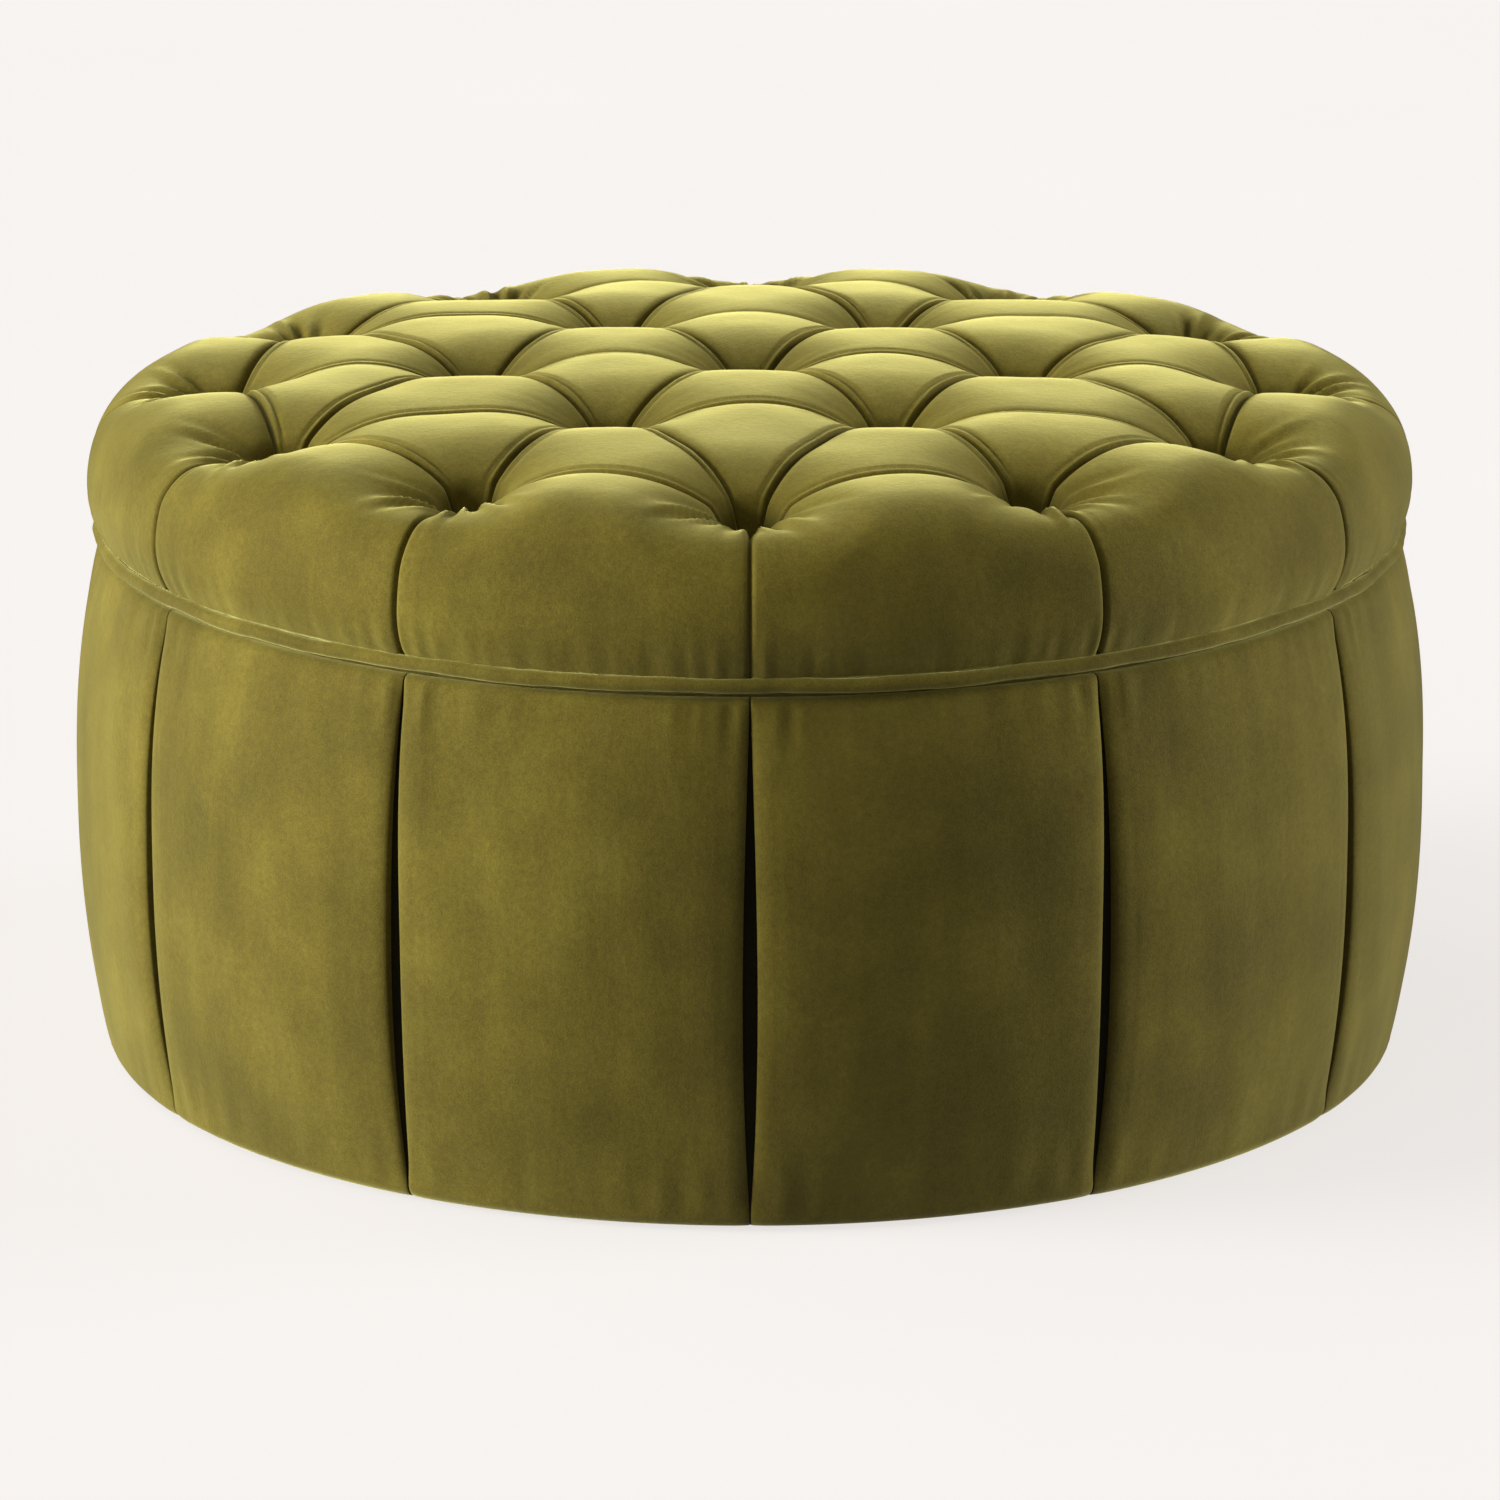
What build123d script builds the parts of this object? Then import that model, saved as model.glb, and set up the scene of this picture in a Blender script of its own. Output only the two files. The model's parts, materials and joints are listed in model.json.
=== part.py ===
from build123d import *
import math
import os

# Round storage ottoman: a pleated, barrel-shaped base and a button-tufted lid, which lifts
# on two rear hinges and two gas struts. Millimetres, +Z up, origin on the floor under the
# centre. The front faces -Y and the hinges are at the rear, +Y. Right is +X.

# ---- Driving dimensions ----------------------------------------------------------------
BELLY_R = 457.0          # widest radius of the base
BELLY_Z = 180.0
RIM_R = 438.0            # outer radius at the top of the base
RIM_Z = 350.0            # top of the base
HEM_R = 443.0            # radius where the skirt starts to turn under
HEM_TURN = 18.0          # radius of that turn
HEM_Z = 3.0              # the skirt hangs this far above the floor
PLEATS = 12              # inverted pleats in the skirt, one at the front
PLEAT_GAP = 9.0          # width of a pleat's opening at half height
PLEAT_DEPTH = 9.0
TUCK_DEPTH = 13.0        # back of the cloth folded behind a pleat
TUCK_WIDTH = 34.0

LID_R = 446.0            # widest radius of the lid's cushion
LID_BELLY_Z = 393.0
CROWN_Z = 475.0          # top of the cushion's crown
CROWN_DROP = 24.0        # fall of the crown from the centre to the shoulder
SHOULDER_R = 385.0
WELT_R = 5.0             # radius of the piping along the lid's lower edge
WELT_RING_R = 439.5

BUTTON_R = 11.0
BUTTON_TALL = 8.0
BUTTON_DOME = 4.0        # rise of a button's rounded top
BUTTON_SINK = 40.0       # top of a button below the crown
POCKET_R = 32.0          # the pocket over a button opens to about this radius
TWINE_R = 1.2
BUTTON_RINGS = ((0, 1), (183, 6), (351, 12))  # radius and count of each ring

LID_OPEN = 75.0          # lid travel in degrees
LID_GAP = 3.0            # top of the base to the lid board
HINGE_X = 52.0           # middle of each hinge, from the centre line
HINGE_Y = 446.5
STRUT_X = 100.0          # plane of each gas strut
STRUT_ARM = 251.0        # hinge axis to either end of a strut
LOWER_BALL_FORWARD = 107.5
UPPER_BALL_DROP = 11.5

# ---- Thicknesses and stock sizes -------------------------------------------------------
CLOTH = 5.0              # skirt velvet with its backing
FACING = 2.0             # cloth band over the top of the frame
LINING = 0.8             # lining and dust-cover cloth
CARD = 2.0               # covered card inside the box
WALL = 4.0               # bent hardboard round the frame
BASE_PLY = 12.0
RING_PLY = 18.0
LID_PLY = 15.0
FOAM_CORE = 32.0         # firm foam under the tufting
POST_WIDTH = 40.0
STEEL = 2.5              # strut brackets
TOP_FOLD = 4.0           # skirt cloth turned over the edge of the rim
LEAF = 1.2               # hinge leaves
RUNNING = 0.05           # radial clearance of a turning or sliding fit

# ---- Heights and radii that follow -----------------------------------------------------
BOARD_Z = HEM_Z + CLOTH
FLOOR_Z = BOARD_Z + BASE_PLY
RING_TOP = RIM_Z - FACING
FRAME_R = 426.0
WALL_R = FRAME_R + WALL
BOX_R = 386.0                               # clear inside radius of the storage box
POST_IN = BOX_R + CARD + 0.2
POST_OUT = math.sqrt(FRAME_R**2 - (POST_WIDTH / 2) ** 2) - 0.1
SKIRT_RETURN_R = 400.0                      # the hem is fixed under the board to here
POST_ANGLE = 180 / PLEATS                   # posts stand midway between the pleats
GLIDE_RING_R = 375.0
GLIDE_R = 15.0
GLIDES = 6
NAIL_R = 1.5
NAIL_TOP = BOARD_Z + 10
BUMPER_RING_R = 407.0
BUMPER_R = 8.0

LID_Z = RIM_Z + LID_GAP
CORE_Z = LID_Z + LID_PLY
CORE_TOP = CORE_Z + FOAM_CORE
LID_PLY_R = 432.0
CORE_R = 415.0
WELT_Z = LID_Z + WELT_R + 0.2
LIP_R = LID_R - 6.5                         # cushion radius just above the welt
HAUNCH = (LID_R - 9, 424)                   # the cushion's side, halfway up its round
LIP_Z = WELT_Z + WELT_R
ANCHOR = 1.6                                # discs that hold the button twines
ANCHOR_R = 6.0
ANCHOR_LOW = LID_Z + 0.4
ANCHOR_TOP = ANCHOR_LOW + ANCHOR

PIN_R = 1.5
KNUCKLE_R = 3.6
KNUCKLES = 5
LEAF_LENGTH = 60.0
LEAF_FRONT = 400.0
KNUCKLE_GAP = 0.4
PIN_HEAD_R = 2.5
PIN_HEAD = 1.1
HINGE_Z = RIM_Z + LID_GAP / 2
HINGE_SCREWS = ((HINGE_X - 20, 408), (HINGE_X, 416), (HINGE_X + 20, 408))

LOWER_BALL = (STRUT_X, HINGE_Y - LOWER_BALL_FORWARD,
              HINGE_Z - math.sqrt(STRUT_ARM**2 - LOWER_BALL_FORWARD**2))
UPPER_BALL = (STRUT_X, HINGE_Y - math.sqrt(STRUT_ARM**2 - UPPER_BALL_DROP**2),
              HINGE_Z - UPPER_BALL_DROP)
STRUT_SHUT = math.dist(LOWER_BALL, UPPER_BALL)
STRUT_LEAN = math.degrees(math.atan2(LOWER_BALL[1] - UPPER_BALL[1],
                                     UPPER_BALL[2] - LOWER_BALL[2]))
BALL_R = 4.0
STUD_R = 2.5
SOCKET_R = 6.5
SOCKET_LENGTH = 12.0                        # ball centre to the end of the tube or rod
TUBE_R = 7.5
BORE_R = 6.5
ROD_R = 3.0
TUBE_MOUTH = STRUT_SHUT - SOCKET_LENGTH - 2.0
GUIDE = 8.0                                 # length of the rod guide in the tube's mouth
PISTON_LOW = 18.0
PISTON = 6.0
TUBE_END = 4.0                              # solid end of the tube
TAB_X = STRUT_X + 10.0                      # bracket tab that carries the ball stud
PLATE_BACK = BOX_R - 0.9                    # flat bracket plate against the round wall
LOWER_PLATE = ((-25, -25), (13, 25))        # its corners, along the wall and up from the ball
LOWER_TAB = (9, 12)                         # half depth and half height
LOWER_HOLES = [(-18, -17), (-18, 17), (-3, -17), (-3, 17)]
UPPER_PLATE = (16, 21)                      # the lid bracket's plate, inboard and half depth
UPPER_TAB = (8, 7)
UPPER_HOLES = [(-10, -15), (-10, 15), (3, -15), (3, 15)]

BOTTOM = (Align.CENTER, Align.CENTER, Align.MIN)
pieces = {}


# ---- Shared shapes ---------------------------------------------------------------------
def ring(r_in, r_out, z_low, z_high):
    """A disc, flat ring or tube between two heights."""
    body = Pos(0, 0, z_low) * Cylinder(r_out, z_high - z_low, align=BOTTOM)
    if r_in:
        body -= Pos(0, 0, z_low) * Cylinder(r_in, z_high - z_low, align=BOTTOM)
    return body


def turned(*lines):
    """A solid of revolution from lines drawn as (radius, height), its seam between pleats."""
    face = make_face(Plane.XZ * Curve(children=lines))
    return Rot(0, 0, POST_ANGLE) * revolve(face, Axis.Z)


def block(low, high):
    """A box between two corners."""
    size = [b - a for a, b in zip(low, high)]
    middle = [(a + b) / 2 for a, b in zip(low, high)]
    return Pos(*middle) * Box(*size)


def x_rod(x_low, x_high, y, z, radius):
    """A round bar along X."""
    middle = (x_low + x_high) / 2
    return Pos(middle, y, z) * Rot(0, 90, 0) * Cylinder(radius, x_high - x_low)


def round_centre(shape, count, start=0.0):
    """Copies of a shape spaced evenly round the ottoman's centre."""
    return [Rot(0, 0, start + 360 / count * i) * shape for i in range(count)]


def sided(shape, side):
    """A piece made for the right, or its mirror image for the left."""
    return shape if side == "right" else mirror(shape, about=Plane.YZ)


def group(shapes):
    """Separate identical solids in one node."""
    return Compound(children=list(shapes))


def wood_screw(length, shank_r, grow=0.0):
    """A countersunk screw along -Z, its head flush at the origin. grow makes its hole."""
    head_r = 2 * shank_r + grow
    side_r = shank_r + grow
    tip = 2 * shank_r
    return turned(Polyline((0, 0), (head_r, 0), (side_r, -shank_r), (side_r, tip - length),
                           (0, -length - grow), (0, 0)))


def fasten(names, places, length, shank_r):
    """Drills the named pieces at the places and returns the screws that go there."""
    for name in names:
        for place in places:
            pieces[name] -= place * wood_screw(length, shank_r, grow=0.1)
    return [place * wood_screw(length, shank_r) for place in places]


# ---- Base ------------------------------------------------------------------------------
def barrel(inset):
    """The whole barrel as a solid, its hem turn and side moved in by inset."""
    turn_r = HEM_R - HEM_TURN
    turn_z = HEM_Z + HEM_TURN
    bend = HEM_TURN - inset
    slant = bend * math.sqrt(0.5)
    side = ((HEM_R, turn_z), (BELLY_R - 4.5, 80), (BELLY_R, BELLY_Z), (BELLY_R - 4, 285),
            (RIM_R, RIM_Z))
    return turned(
        Line((0, HEM_Z + inset), (turn_r, HEM_Z + inset)),
        ThreePointArc((turn_r, HEM_Z + inset), (turn_r + slant, turn_z - slant),
                      (turn_r + bend, turn_z)),
        Spline(*[(r - inset, z) for r, z in side]),
        Polyline((RIM_R - inset, RIM_Z), (0, RIM_Z), (0, HEM_Z + inset)),
    )


def pleat_groove():
    """The opening of the front pleat: pointed at both ends, widest at half height."""
    low, high = HEM_Z + HEM_TURN, RIM_Z - 2 * CLOTH
    middle = (low + high) / 2
    right = ThreePointArc((0, low), (PLEAT_GAP / 2, middle), (0, high))
    left = ThreePointArc((0, high), (-PLEAT_GAP / 2, middle), (0, low))
    opening = make_face(Plane.XZ * Curve(children=[right, left]))
    return extrude(opening, BELLY_R + 10) - barrel(PLEAT_DEPTH)


def make_skirt_and_wrap():
    """Velvet skirt, with the cloth folded behind each pleat let into the foam wrap."""
    top_fold = RIM_Z - TOP_FOLD
    inside = barrel(CLOTH) & ring(0, BELLY_R, HEM_Z, top_fold)
    skirt = barrel(0) - inside - ring(0, WALL_R, BOARD_Z, RIM_Z)
    skirt -= ring(0, SKIRT_RETURN_R, HEM_Z, BOARD_Z)
    wrap = inside & ring(WALL_R, BELLY_R, HEM_Z + HEM_TURN, top_fold)
    side = block((-TUCK_WIDTH / 2, -BELLY_R, 0), (TUCK_WIDTH / 2, 0, RIM_Z))
    tuck = (wrap & side) - barrel(TUCK_DEPTH)
    for fold, groove in zip(round_centre(tuck, PLEATS), round_centre(pleat_groove(), PLEATS)):
        skirt = skirt + fold - groove
        wrap -= fold
    pieces["pleated_skirt"] = skirt
    pieces["foam_wrap"] = wrap


def make_frame():
    """Base board, twelve posts, top ring and the bent wall round them."""
    ring_low = RING_TOP - RING_PLY
    pieces["base_board"] = ring(0, FRAME_R, BOARD_Z, FLOOR_Z)
    pieces["top_ring"] = ring(BOX_R + CARD, FRAME_R, ring_low, RING_TOP)
    pieces["drum_wall"] = ring(FRAME_R, WALL_R, BOARD_Z, RING_TOP)
    post = block((-POST_WIDTH / 2, POST_IN, FLOOR_Z), (POST_WIDTH / 2, POST_OUT, ring_low))
    for number, upright in enumerate(round_centre(post, PLEATS, POST_ANGLE), 1):
        pieces[f"frame_post_{number:02d}"] = upright
    radius = (POST_IN + POST_OUT) / 2
    up = Rot(180, 0, 0)
    screws = []
    for number in range(PLEATS):
        spot = Rot(0, 0, POST_ANGLE + 360 / PLEATS * number) * Pos(0, radius, 0)
        post_name = f"frame_post_{number + 1:02d}"
        above, below = Pos(0, 0, RING_TOP) * spot, Pos(0, 0, BOARD_Z) * spot * up
        screws += fasten(["top_ring", post_name], [above], length=45, shank_r=2.0)
        screws += fasten(["base_board", post_name], [below], length=40, shank_r=2.0)
    pieces["frame_screws"] = group(screws)


def make_linings():
    """Card wall and cloths that line the box, the rim's facing and the dust cover."""
    pieces["wall_lining"] = ring(BOX_R, BOX_R + CARD, FLOOR_Z, RING_TOP)
    pieces["floor_lining"] = ring(0, BOX_R, FLOOR_Z, FLOOR_Z + LINING)
    pieces["rim_facing"] = ring(BOX_R - 2, WALL_R, RING_TOP, RIM_Z)
    pieces["dust_cover"] = ring(0, SKIRT_RETURN_R - 0.5, BOARD_Z - LINING, BOARD_Z)


def make_glides():
    """Nail-on plastic glides under the base board, each with its nail."""
    glide = ring(0, GLIDE_R, 0, BOARD_Z - LINING) + ring(0, NAIL_R, BOARD_Z - LINING, NAIL_TOP)
    glide = Pos(0, GLIDE_RING_R, 0) * fillet(glide.edges().sort_by(Axis.Z)[0], 2)
    hole = Pos(0, GLIDE_RING_R, 0) * ring(0, NAIL_R + RUNNING, 0, NAIL_TOP + RUNNING)
    for number, foot in enumerate(round_centre(glide, GLIDES), 1):
        pieces[f"glide_{number}"] = foot
    for nail_hole in round_centre(hole, GLIDES):
        pieces["base_board"] -= nail_hole
        pieces["dust_cover"] -= nail_hole


def make_bumpers():
    """Rubber pads on the rim, just under the shut lid's lining."""
    pad = ring(0, BUMPER_R, RIM_Z, LID_Z - LINING - 0.2)
    spots = round_centre(Pos(0, BUMPER_RING_R, 0) * pad, GLIDES, 180 / GLIDES)
    pieces["lid_bumpers"] = group(spots)


# ---- Lid -------------------------------------------------------------------------------
def crown_height(radius):
    """Height of the cushion's crown, which falls as a parabola to the shoulder."""
    return CROWN_Z - CROWN_DROP * (radius / SHOULDER_R) ** 2


def button_spots():
    """Centre of each button's top, ring by ring."""
    for radius, count in BUTTON_RINGS:
        height = crown_height(radius) - BUTTON_SINK
        for i in range(count):
            angle = math.tau * i / count
            yield radius * math.cos(angle), radius * math.sin(angle), height


def tuft_button():
    """A covered button with a domed top, hanging below its origin."""
    dome_r = (BUTTON_R**2 + BUTTON_DOME**2) / (2 * BUTTON_DOME)
    return ring(0, BUTTON_R, -BUTTON_TALL, 0) & Pos(0, 0, -dome_r) * Sphere(dome_r)


def make_cushion():
    """Upholstered cushion over the foam core, with a pocket for each button."""
    crown = [(SHOULDER_R * share, crown_height(SHOULDER_R * share)) for share in (1, 0.5, 0)]
    cushion = turned(
        Polyline((0, CROWN_Z), (0, CORE_TOP), (CORE_R, CORE_TOP), (CORE_R, CORE_Z),
                 (LID_PLY_R, CORE_Z), (LID_PLY_R, LIP_Z), (LIP_R, LIP_Z)),
        Spline((LIP_R, LIP_Z), (LID_R, LID_BELLY_Z), HAUNCH, crown[0],
               tangents=[(0.5, 1), (-1, 0.12)]),
        ThreePointArc(*crown),
    )
    pocket = Cone(BUTTON_R + 1, POCKET_R, BUTTON_TALL + BUTTON_SINK + 10, align=BOTTOM)
    for x, y, z in button_spots():
        cushion -= Pos(x, y, z - BUTTON_TALL) * pocket
    pieces["tufted_cushion"] = cushion
    pieces["tuft_buttons"] = group(Pos(*spot) * tuft_button() for spot in button_spots())


def make_lid_frame():
    """Lid board, foam core, lining, welt, and the twines that pull the buttons down."""
    pieces["lid_board"] = ring(0, LID_PLY_R, LID_Z, CORE_Z)
    pieces["lid_foam"] = ring(0, CORE_R, CORE_Z, CORE_TOP)
    pieces["lid_lining"] = ring(0, LID_PLY_R - 4, LID_Z - LINING, LID_Z)
    pieces["welt"] = Pos(0, 0, WELT_Z) * Torus(WELT_RING_R, WELT_R)
    twines, anchors = [], []
    for x, y, z in button_spots():
        twine_top = z - BUTTON_TALL
        hole = Pos(x, y, 0) * ring(0, TWINE_R + 0.3, LID_Z, twine_top)
        for name in ("lid_board", "lid_foam", "tufted_cushion"):
            pieces[name] -= hole
        pieces["lid_board"] -= Pos(x, y, 0) * ring(0, ANCHOR_R + 1, LID_Z, ANCHOR_TOP)
        anchors.append(Pos(x, y, 0) * ring(0, ANCHOR_R, ANCHOR_LOW, ANCHOR_TOP))
        twines.append(Pos(x, y, 0) * ring(0, TWINE_R, ANCHOR_TOP, twine_top))
    pieces["button_twines"] = group(twines)
    pieces["twine_anchors"] = group(anchors)


# ---- Hinges ----------------------------------------------------------------------------
def hinge_leaf(plate_z, own_knuckles):
    """Right-hand leaf: a flat plate with its share of the knuckles round the pin."""
    left = HINGE_X - LEAF_LENGTH / 2
    pitch = LEAF_LENGTH / KNUCKLES
    plate_end = HINGE_Y - KNUCKLE_R - KNUCKLE_GAP
    leaf = block((left, LEAF_FRONT, plate_z), (left + LEAF_LENGTH, plate_end, plate_z + LEAF))
    for i in own_knuckles:
        low = left + pitch * i + KNUCKLE_GAP / 2
        high = low + pitch - KNUCKLE_GAP
        leaf += block((low, plate_end, plate_z), (high, HINGE_Y - KNUCKLE_R / 2, plate_z + LEAF))
        leaf += x_rod(low, high, HINGE_Y, HINGE_Z, KNUCKLE_R)
    return leaf - x_rod(left, left + LEAF_LENGTH, HINGE_Y, HINGE_Z, PIN_R + RUNNING)


def hinge_pin():
    """Right-hand pin with a peened head beyond each end of the knuckles."""
    left = HINGE_X - LEAF_LENGTH / 2
    right = left + LEAF_LENGTH
    pin = x_rod(left - PIN_HEAD, right + PIN_HEAD, HINGE_Y, HINGE_Z, PIN_R)
    for low in (left - PIN_HEAD, right):
        pin += x_rod(low, low + PIN_HEAD, HINGE_Y, HINGE_Z, PIN_HEAD_R)
    return pin


def make_hinges():
    """Two butt hinges between the rim and the lid board, screwed through their leaves."""
    leaf_top = RIM_Z + LEAF
    lid_leaf_z = LID_Z - LEAF
    base_screws, lid_screws = [], []
    for side in ("left", "right"):
        base_leaf, lid_leaf = f"hinge_base_leaf_{side}", f"hinge_lid_leaf_{side}"
        pieces[base_leaf] = sided(hinge_leaf(RIM_Z, (0, 2, 4)), side)
        pieces[lid_leaf] = sided(hinge_leaf(lid_leaf_z, (1, 3)), side)
        pieces[f"hinge_pin_{side}"] = sided(hinge_pin(), side)
        footprint = block((HINGE_X - LEAF_LENGTH / 2 - 1, LEAF_FRONT - 1, LID_Z - 2),
                          (HINGE_X + LEAF_LENGTH / 2 + 1, HINGE_Y, LID_Z))
        pieces["lid_lining"] -= sided(footprint, side)
        hand = 1 if side == "right" else -1
        down = [Pos(hand * x, y, leaf_top) for x, y in HINGE_SCREWS]
        up = [Pos(hand * x, y, lid_leaf_z) * Rot(180, 0, 0) for x, y in HINGE_SCREWS]
        rim = [base_leaf, "rim_facing", "top_ring"]
        base_screws += fasten(rim, down, length=17, shank_r=1.5)
        lid_screws += fasten([lid_leaf, "lid_board"], up, length=13, shank_r=1.5)
    pieces["hinge_base_screws"] = group(base_screws)
    pieces["hinge_lid_screws"] = group(lid_screws)


# ---- Gas struts ------------------------------------------------------------------------
def ball_stud(ball):
    """A ball on a stud that reaches out to the bracket's tab."""
    x, y, z = ball
    return Pos(*ball) * Rot(0, 0, 90) * Sphere(BALL_R) + x_rod(x, TAB_X, y, z, STUD_R)


def lower_bracket():
    """Steel bracket on the box wall: a plate along the wall and a tab for the ball stud."""
    x, y, z = LOWER_BALL
    (left, low), (right, high) = LOWER_PLATE
    depth, height = LOWER_TAB
    tilt = math.radians(POST_ANGLE)
    plate = block((left, PLATE_BACK - STEEL, z + low), (right, PLATE_BACK, z + high))
    reach = (PLATE_BACK - STEEL / 2 - TAB_X * math.sin(tilt)) / math.cos(tilt)
    tab = block((TAB_X, y - depth, z - height), (TAB_X + STEEL, reach, z + height))
    return Rot(0, 0, -POST_ANGLE) * plate + tab + ball_stud(LOWER_BALL)


def upper_bracket():
    """Steel bracket under the lid: a flat plate and a tab for the ball stud."""
    x, y, z = UPPER_BALL
    inboard, half = UPPER_PLATE
    depth, height = UPPER_TAB
    under = LID_Z - LINING
    plate = block((x - inboard, y - half, under - STEEL), (TAB_X + STEEL, y + half, under))
    tab = block((TAB_X, y - depth, z - height), (TAB_X + STEEL, y + depth, under))
    return plate + tab + ball_stud(UPPER_BALL)


def along_strut(shape):
    """Places a shape drawn up Z from the lower ball along the shut strut."""
    return Pos(*LOWER_BALL) * Rot(STRUT_LEAN, 0, 0) * shape


def strut_socket(neck_low, neck_high):
    """Plastic ball socket at Z 0, with a neck that meets the tube or rod."""
    socket = Sphere(SOCKET_R + 0.5) + ring(0, SOCKET_R, neck_low, neck_high)
    socket -= Sphere(BALL_R + RUNNING)
    return socket - x_rod(0, 2 * SOCKET_R, 0, 0, STUD_R + 0.6)


def strut_tube():
    """Gas tube, bored for the piston and closed at its mouth by the rod guide."""
    tube = ring(0, TUBE_R, SOCKET_LENGTH, TUBE_MOUTH)
    tube -= ring(0, BORE_R, SOCKET_LENGTH + TUBE_END, TUBE_MOUTH - GUIDE)
    return tube - ring(0, ROD_R + RUNNING, TUBE_MOUTH - GUIDE, TUBE_MOUTH)


def strut_rod():
    """Rod with its piston, pushed right in while the lid is shut."""
    rod = ring(0, ROD_R, PISTON_LOW, STRUT_SHUT - SOCKET_LENGTH)
    return rod + ring(0, BORE_R - RUNNING, PISTON_LOW, PISTON_LOW + PISTON)


def make_struts():
    """Two gas struts with their ball sockets, brackets and bracket screws."""
    shapes = {
        "strut_tube": along_strut(strut_tube()),
        "strut_rod": along_strut(strut_rod()),
        "strut_lower_socket": along_strut(strut_socket(0, SOCKET_LENGTH)),
        "strut_upper_socket": along_strut(
            Pos(0, 0, STRUT_SHUT) * strut_socket(-SOCKET_LENGTH, 0)),
        "strut_lower_bracket": lower_bracket(),
        "strut_upper_bracket": upper_bracket(),
    }
    x, y, z = UPPER_BALL
    lower, upper = [], []
    for side, hand, post in (("left", -1, "frame_post_01"), ("right", 1, "frame_post_12")):
        for name, shape in shapes.items():
            pieces[f"{name}_{side}"] = sided(shape, side)
        wall = Rot(0, 0, -hand * POST_ANGLE) * Pos(0, PLATE_BACK - STEEL, LOWER_BALL[2])
        wall_spots = [wall * Pos(hand * dx, 0, dz) * Rot(90, 0, 0) for dx, dz in LOWER_HOLES]
        under = LID_Z - LINING - STEEL
        lid_spots = [Pos(hand * (x + dx), y + dy, under) * Rot(180, 0, 0)
                     for dx, dy in UPPER_HOLES]
        behind = [f"strut_lower_bracket_{side}", "wall_lining", post]
        lower += fasten(behind, wall_spots, length=25, shank_r=1.75)
        above = [f"strut_upper_bracket_{side}", "lid_lining", "lid_board"]
        upper += fasten(above, lid_spots, length=15, shank_r=1.75)
    pieces["strut_lower_screws"] = group(lower)
    pieces["strut_upper_screws"] = group(upper)


make_skirt_and_wrap()
make_frame()
make_linings()
make_glides()
make_bumpers()
make_cushion()
make_lid_frame()
make_hinges()
make_struts()

os.makedirs("parts", exist_ok=True)
for node, shape in pieces.items():
    export_step(shape, f"parts/{node}.step")

opened = 2 * STRUT_ARM * math.sin(math.asin(STRUT_SHUT / 2 / STRUT_ARM)
                                  + math.radians(LID_OPEN / 2))
print(f"{len(pieces)} nodes; each strut is {STRUT_SHUT:.1f} mm shut and {opened:.1f} mm open")
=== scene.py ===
"""Looks of the round storage ottoman: tufted velvet lid, pleated skirt, linings, wood and metal.

Metres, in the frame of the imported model: +Z up, the floor at 0, the front facing -Y.
"""

import json
import math

import bpy
import numpy as np
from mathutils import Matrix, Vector


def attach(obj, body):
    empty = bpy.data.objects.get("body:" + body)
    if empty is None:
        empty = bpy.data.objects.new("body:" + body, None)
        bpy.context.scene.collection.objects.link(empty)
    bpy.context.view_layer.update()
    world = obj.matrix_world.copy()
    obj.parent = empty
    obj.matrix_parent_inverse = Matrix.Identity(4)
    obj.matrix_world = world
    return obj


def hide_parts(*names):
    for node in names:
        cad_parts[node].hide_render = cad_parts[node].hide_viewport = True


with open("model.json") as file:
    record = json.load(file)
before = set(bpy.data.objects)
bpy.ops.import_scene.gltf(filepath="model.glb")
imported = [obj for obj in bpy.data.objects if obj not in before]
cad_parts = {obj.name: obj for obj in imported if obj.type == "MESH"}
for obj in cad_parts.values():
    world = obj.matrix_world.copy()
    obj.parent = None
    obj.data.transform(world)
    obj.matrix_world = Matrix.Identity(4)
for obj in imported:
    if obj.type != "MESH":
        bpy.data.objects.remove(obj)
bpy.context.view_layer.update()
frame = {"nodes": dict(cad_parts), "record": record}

# ---- Sizes of the soft pieces ----------------------------------------------------------
CROWN_Z = 0.475            # top of the lid's crown
CROWN_FALL = 0.017         # its fall out to the shoulder
LEAN = 0.030               # the stuffing stands a little fuller at the front, per metre
LEAN_FADE = 0.05           # height above the widest place over which that sets in
SHOULDER_R = 0.385         # where the crown turns down into the side
BELLY_R = 0.4455           # widest radius of the lid
BELLY_Z = 0.393            # height of that widest place
HEM_IN = 0.0096            # the lid draws in by this much at the welt
HEM_Z = 0.3612             # the skin's lower edge, hidden in the welt
HEM_RETURN = ((0.0006, 0.0030), (0.0012, 0.0060))   # the hem's turn behind it: in and down
RINGS = ((0.0, 1), (0.183, 6), (0.351, 12))   # radius and count of each ring of buttons
PANEL_TURN = math.tau / RINGS[2][1]           # angle that one panel of the side covers
OUTER_RING = 0.3           # buttons farther out than this are the outer ring
BUTTON_DEPTH = 0.043       # top of a button below the crown
BUTTON_R = 0.011           # radius of a button
PULL_REACH = 0.094         # how far a button draws the cloth down round it
PULL = 0.036               # depth of that pull at the button
WELL = 0.019               # the steep last part of the pull
PULL_LIMIT = 0.0485        # deepest that the cloth goes, below the crown
PULL_TURN = (0.36, 0.45)   # cloth lengths between which the pull turns from down to inwards
PILLOW = 0.0048            # rounding of each puff towards its folds
PILLOW_WIDE = 0.046        # how far that rounding reaches from a fold
FOLD = 0.0056              # depth of a fold
FOLD_WIDE = 0.0085         # width of its rounded side
SLOT = 0.0021              # width of its sharp middle
TUCK = 0.0021              # depth of the second, fine line beside a fold
TUCK_OFF = 0.0068          # distance of that line from the fold
LIP = 0.0010               # height of the raised cloth between the two lines
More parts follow.
